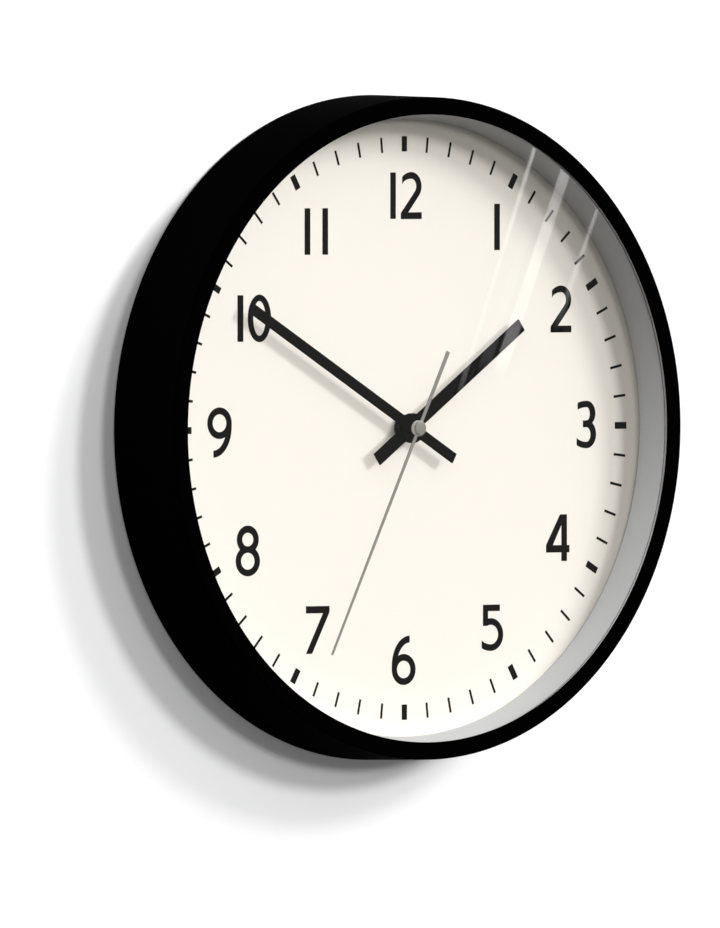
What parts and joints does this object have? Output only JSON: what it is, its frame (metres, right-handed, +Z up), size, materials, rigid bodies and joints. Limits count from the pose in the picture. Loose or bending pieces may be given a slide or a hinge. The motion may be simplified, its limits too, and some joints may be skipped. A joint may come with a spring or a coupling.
{
  "type": "wall clock",
  "caption": "Round drum wall clock: black case, cream dial with numerals, flat glass, baton hands and a battery quartz movement, hung from a keyhole plate.",
  "frame": {"origin": "where the axis of the wall screw meets the wall, with the screw at the upper end of the keyhole slot; the hands' axis is 105 mm below", "axes": "+Z up, +Y into the wall, the dial faces -Y and +X is to the right as the dial is read"},
  "size_m": [0.3, 0.042, 0.3],
  "materials": {
    "case_black": "fine satin moulding",
    "lens_clear": "polished",
    "ring_white": "satin",
    "dial_cream": "matt print",
    "hand_black": "matt paint",
    "hand_grey": "satin paint",
    "zinc_steel": "zinc plated",
    "brass_parts": "turned",
    "nut_black": "black oxide",
    "housing_dark": "moulded grain",
    "train_nylon": "natural nylon",
    "rubber_black": "matt",
    "resin_black": "cast drop",
    "board_green": "solder mask",
    "magnet_wire": "enamelled copper",
    "ferrite_grey": "sintered",
    "cell_jacket": "printed sleeve"
  },
  "bodies": {
    "case": {"case_shell": "case_black", "front_glass": "lens_clear", "spacer_ring": "ring_white", "dial_plate": "dial_cream", "back_cover": "case_black", "cover_screw_1": "zinc_steel", "cover_screw_2": "zinc_steel", "cover_screw_3": "zinc_steel", "cover_screw_4": "zinc_steel", "cover_screw_5": "zinc_steel", "cover_screw_6": "zinc_steel", "hanger_plate": "zinc_steel", "hanger_rivet_1": "zinc_steel", "hanger_rivet_2": "zinc_steel", "movement_front_housing": "housing_dark", "movement_rear_cover": "housing_dark", "train_bridge": "train_nylon", "rubber_washer": "rubber_black", "nut_washer": "nut_black", "hex_nut": "nut_black", "circuit_board": "board_green", "timer_chip": "resin_black", "quartz_crystal": "zinc_steel", "coil_bobbin": "train_nylon", "coil_winding": "magnet_wire", "coil_core": "zinc_steel", "stator": "zinc_steel", "battery_contact_positive": "zinc_steel", "battery_contact_negative": "zinc_steel"},
    "second_hand_arbor": {"second_hand": "hand_grey", "second_wheel": "train_nylon"},
    "minute_hand_pipe": {"minute_hand": "hand_black", "minute_pipe": "brass_parts"},
    "hour_hand_pipe": {"hour_hand": "hand_black", "hour_wheel": "train_nylon"},
    "rotor": {"rotor_pinion": "train_nylon", "rotor_magnet": "ferrite_grey"},
    "intermediate_arbor": {"intermediate_wheel": "train_nylon"},
    "third_arbor": {"third_wheel": "train_nylon"},
    "centre_clutch_wheel": {"centre_wheel": "train_nylon"},
    "minute_work_wheel": {"minute_wheel": "train_nylon"},
    "setting_stem": {"setting_shaft": "train_nylon", "setting_knob": "train_nylon"},
    "battery_cell": {"battery": "cell_jacket"}
  },
  "joints": [
    {"name": "second_hand_turn", "type": "hinge", "parent": "case", "child": "second_hand_arbor", "pos_m": [0, -0.0344, -0.105], "axis": [0, 1, 0], "continuous": true},
    {"name": "minute_hand_turn", "type": "hinge", "parent": "case", "child": "minute_hand_pipe", "pos_m": [0, -0.0304, -0.105], "axis": [0, 1, 0], "continuous": true},
    {"name": "hour_hand_turn", "type": "hinge", "parent": "case", "child": "hour_hand_pipe", "pos_m": [0, -0.0287, -0.105], "axis": [0, 1, 0], "continuous": true},
    {"name": "rotor_turn", "type": "hinge", "parent": "case", "child": "rotor", "pos_m": [0.01256, -0.0104, -0.0953], "axis": [0, 1, 0], "continuous": true},
    {"name": "intermediate_wheel_turn", "type": "hinge", "parent": "case", "child": "intermediate_arbor", "pos_m": [0.00881, -0.0104, -0.10179], "axis": [0, 1, 0], "continuous": true},
    {"name": "third_wheel_turn", "type": "hinge", "parent": "case", "child": "third_arbor", "pos_m": [-0.00156, -0.0144, -0.09614], "axis": [0, 1, 0], "continuous": true},
    {"name": "centre_wheel_turn", "type": "hinge", "parent": "case", "child": "centre_clutch_wheel", "pos_m": [0, -0.016, -0.105], "axis": [0, 1, 0], "continuous": true},
    {"name": "minute_wheel_turn", "type": "hinge", "parent": "case", "child": "minute_work_wheel", "pos_m": [-0.009, -0.0174, -0.105], "axis": [0, 1, 0], "continuous": true},
    {"name": "setting_knob_turn", "type": "hinge", "parent": "case", "child": "setting_stem", "pos_m": [-0.01208, -0.0104, -0.09654], "axis": [0, 1, 0], "continuous": true},
    {"name": "battery_slide", "type": "slide", "parent": "case", "child": "battery_cell", "axis": [0, 1, 0], "range_m": [0, 0.02]}
  ],
  "couplings": [
    {"joint": "intermediate_wheel_turn", "follows": "second_hand_turn", "ratio": -5},
    {"joint": "rotor_turn", "follows": "second_hand_turn", "ratio": 30},
    {"joint": "third_wheel_turn", "follows": "second_hand_turn", "ratio": -0.13333},
    {"joint": "centre_wheel_turn", "follows": "second_hand_turn", "ratio": 0.016667},
    {"joint": "minute_wheel_turn", "follows": "minute_hand_turn", "ratio": -0.33333},
    {"joint": "hour_hand_turn", "follows": "minute_hand_turn", "ratio": 0.083333},
    {"joint": "setting_knob_turn", "follows": "minute_hand_turn", "ratio": 1}
  ]
}
